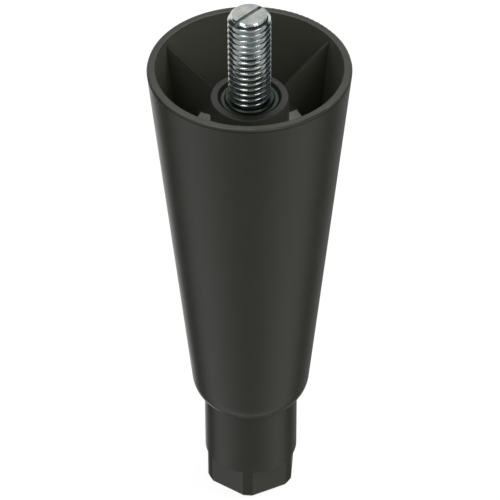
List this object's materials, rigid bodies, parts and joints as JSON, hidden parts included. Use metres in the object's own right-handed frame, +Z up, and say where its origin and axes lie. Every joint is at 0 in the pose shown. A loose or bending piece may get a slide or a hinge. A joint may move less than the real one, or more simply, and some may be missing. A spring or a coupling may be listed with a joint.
{
  "type": "equipment leg",
  "caption": "Tapered moulded equipment leg with an open ribbed top, a threaded stud at its centre and a screw-in levelling foot with wrench flats.",
  "frame": {"origin": "middle of the foot's flat bottom, on the leg's axis, with the leg standing on its foot", "axes": "+Z up along the leg and its stud; -Y towards the rib that points at the viewer; +X to the viewer's right"},
  "size_m": [0.0602, 0.0602, 0.1831],
  "materials": {
    "body_plastic": "fine satin moulding, near black",
    "foot_plastic": "fine satin moulding, near black",
    "stud_steel": "bright zinc plating",
    "insert_steel": "bright zinc plating"
  },
  "bodies": {
    "leg": {"leg_body": "body_plastic", "thread_insert": "insert_steel", "stud": "stud_steel"},
    "foot": {"foot": "foot_plastic"}
  },
  "joints": [
    {"name": "foot_height", "type": "slide", "parent": "leg", "child": "foot", "axis": [0, 0, 1], "range_m": [-0.015, 0.02]}
  ]
}
